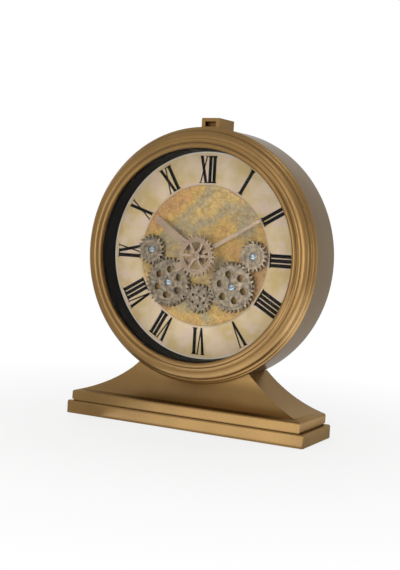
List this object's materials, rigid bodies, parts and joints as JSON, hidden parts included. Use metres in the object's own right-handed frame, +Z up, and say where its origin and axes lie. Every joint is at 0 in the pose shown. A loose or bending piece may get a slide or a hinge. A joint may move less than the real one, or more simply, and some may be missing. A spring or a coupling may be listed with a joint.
{
  "type": "gear clock",
  "caption": "Round mantel clock on a flared base, with hands, a glazed printed dial and a train of turning gears on its face, run by a quartz movement and a small gear motor.",
  "frame": {"origin": "middle of the base's footprint, on the surface that the clock stands on", "axes": "+Z up, +Y from the dial to the back, +X to the right as seen from the front"},
  "size_m": [0.26, 0.071, 0.304],
  "materials": {
    "case_gold": "satin antique-gold metallic lacquer",
    "drum_bronze": "satin grey-bronze metallic lacquer",
    "crystal": "clear and flat",
    "inner_black": "matt charcoal",
    "dial_paper": "fibreboard with a printed, aged paper face",
    "gear_pewter": "satin pewter-bronze lacquer",
    "hand_rose": "satin pale rose-bronze",
    "bright_steel": "bright plated",
    "train_brass": "satin",
    "train_plastic": "natural moulded",
    "movement_black": "fine matt moulding",
    "feet_rubber": "matt",
    "cell_sleeve": "glossy plain sleeve with a bright end",
    "coil_copper": "enamelled wire",
    "board_green": "lacquered circuit board",
    "magnet_grey": "ground, with plain grey end faces"
  },
  "bodies": {
    "case": {"base_plinth": "case_gold", "pedestal": "case_gold", "crown_block": "case_gold", "bezel": "case_gold", "drum_shell": "drum_bronze", "lens": "crystal", "dial_sleeve": "inner_black", "base_cover": "inner_black", "back_cover": "inner_black", "dial_plate": "dial_paper", "base_cover_screws": "bright_steel", "pedestal_screws": "bright_steel", "saddle_bolts": "bright_steel", "crown_screw": "bright_steel", "bezel_screws": "bright_steel", "dial_screws": "bright_steel", "gear_posts": "bright_steel", "gear_screws": "bright_steel", "gearbox_screws": "bright_steel", "motor_can": "bright_steel", "cell_contacts": "bright_steel", "back_cover_screws": "bright_steel", "stator": "bright_steel", "movement_nut": "train_brass", "movement_base": "movement_black", "movement_cover": "movement_black", "gearbox_base": "movement_black", "gearbox_cover": "movement_black", "battery_box": "movement_black", "switch_body": "movement_black", "rubber_feet": "feet_rubber", "lens_gasket": "feet_rubber", "movement_gasket": "feet_rubber", "movement_cell": "cell_sleeve", "gear_cells": "cell_sleeve", "drive_coil": "coil_copper", "circuit_board": "board_green"},
    "left_large": {"left_large_gear": "gear_pewter"},
    "right_large": {"right_large_gear": "gear_pewter"},
    "left_small": {"left_small_gear": "gear_pewter"},
    "right_small": {"right_small_gear": "gear_pewter"},
    "drive": {"drive_gear": "gear_pewter", "output_shaft": "bright_steel"},
    "reduction": {"reduction_gear": "train_plastic"},
    "motor_rotor": {"motor_pinion": "bright_steel"},
    "minute": {"minute_arbor": "train_brass", "minute_hand": "hand_rose"},
    "motion": {"minute_wheel": "train_plastic"},
    "hour": {"hour_tube": "train_plastic", "hour_hand": "hand_rose"},
    "setting": {"setting_knob": "movement_black"},
    "seconds": {"seconds_arbor": "train_brass", "centre_gear": "hand_rose", "centre_cap": "hand_rose"},
    "intermediate": {"intermediate_wheel": "train_plastic"},
    "rotor": {"step_rotor": "magnet_grey"},
    "third": {"third_wheel": "train_plastic"},
    "centre": {"centre_wheel": "train_plastic"},
    "switch": {"switch_slider": "train_plastic"}
  },
  "joints": [
    {"name": "left_large_spin", "type": "hinge", "parent": "case", "child": "left_large", "pos_m": [-0.03519, 0, 0.14039], "axis": [0, 1, 0], "continuous": true},
    {"name": "right_large_spin", "type": "hinge", "parent": "case", "child": "right_large", "pos_m": [0.03519, 0, 0.14039], "axis": [0, 1, 0], "continuous": true},
    {"name": "drive_spin", "type": "hinge", "parent": "case", "child": "drive", "pos_m": [0, 0, 0.1266], "axis": [0, 1, 0], "continuous": true},
    {"name": "left_small_spin", "type": "hinge", "parent": "case", "child": "left_small", "pos_m": [-0.05633, 0, 0.17173], "axis": [0, 1, 0], "continuous": true},
    {"name": "right_small_spin", "type": "hinge", "parent": "case", "child": "right_small", "pos_m": [0.05633, 0, 0.17173], "axis": [0, 1, 0], "continuous": true},
    {"name": "reduction_spin", "type": "hinge", "parent": "case", "child": "reduction", "pos_m": [-0.012, 0, 0.1266], "axis": [0, 1, 0], "continuous": true},
    {"name": "motor_spin", "type": "hinge", "parent": "case", "child": "motor_rotor", "pos_m": [-0.0225, 0, 0.1266], "axis": [0, 1, 0], "continuous": true},
    {"name": "minute_spin", "type": "hinge", "parent": "case", "child": "minute", "pos_m": [0, 0, 0.1689], "axis": [0, 1, 0], "continuous": true},
    {"name": "motion_spin", "type": "hinge", "parent": "case", "child": "motion", "pos_m": [0.01128, 0, 0.173], "axis": [0, 1, 0], "continuous": true},
    {"name": "hour_spin", "type": "hinge", "parent": "case", "child": "hour", "pos_m": [0, 0, 0.1689], "axis": [0, 1, 0], "continuous": true},
    {"name": "setting_spin", "type": "hinge", "parent": "case", "child": "setting", "pos_m": [0.01803, 0, 0.1847], "axis": [0, 1, 0], "continuous": true},
    {"name": "seconds_spin", "type": "hinge", "parent": "case", "child": "seconds", "pos_m": [0, 0, 0.1689], "axis": [0, 1, 0], "continuous": true},
    {"name": "intermediate_spin", "type": "hinge", "parent": "case", "child": "intermediate", "pos_m": [0.00272, 0, 0.17904], "axis": [0, 1, 0], "continuous": true},
    {"name": "rotor_spin", "type": "hinge", "parent": "case", "child": "rotor", "pos_m": [0.00136, 0, 0.18672], "axis": [0, 1, 0], "continuous": true},
    {"name": "third_spin", "type": "hinge", "parent": "case", "child": "third", "pos_m": [-0.01015, 0, 0.17259], "axis": [0, 1, 0], "continuous": true},
    {"name": "centre_spin", "type": "hinge", "parent": "case", "child": "centre", "pos_m": [0, 0, 0.1689], "axis": [0, 1, 0], "continuous": true},
    {"name": "switch_slide", "type": "slide", "parent": "case", "child": "switch", "axis": [1, 0, 0], "range_m": [0, 0.003]}
  ],
  "couplings": [
    {"joint": "right_large_spin", "follows": "left_large_spin", "ratio": 1},
    {"joint": "drive_spin", "follows": "left_large_spin", "ratio": -1.7},
    {"joint": "left_small_spin", "follows": "left_large_spin", "ratio": -1.7},
    {"joint": "right_small_spin", "follows": "left_large_spin", "ratio": -1.7},
    {"joint": "reduction_spin", "follows": "left_large_spin", "ratio": 5.1},
    {"joint": "motor_spin", "follows": "left_large_spin", "ratio": -16.32},
    {"joint": "motion_spin", "follows": "minute_spin", "ratio": -0.33333},
    {"joint": "hour_spin", "follows": "minute_spin", "ratio": 0.083333},
    {"joint": "setting_spin", "follows": "minute_spin", "ratio": 0.66667},
    {"joint": "intermediate_spin", "follows": "seconds_spin", "ratio": -6},
    {"joint": "rotor_spin", "follows": "seconds_spin", "ratio": 30},
    {"joint": "third_spin", "follows": "seconds_spin", "ratio": -0.125},
    {"joint": "centre_spin", "follows": "seconds_spin", "ratio": 0.016667}
  ]
}
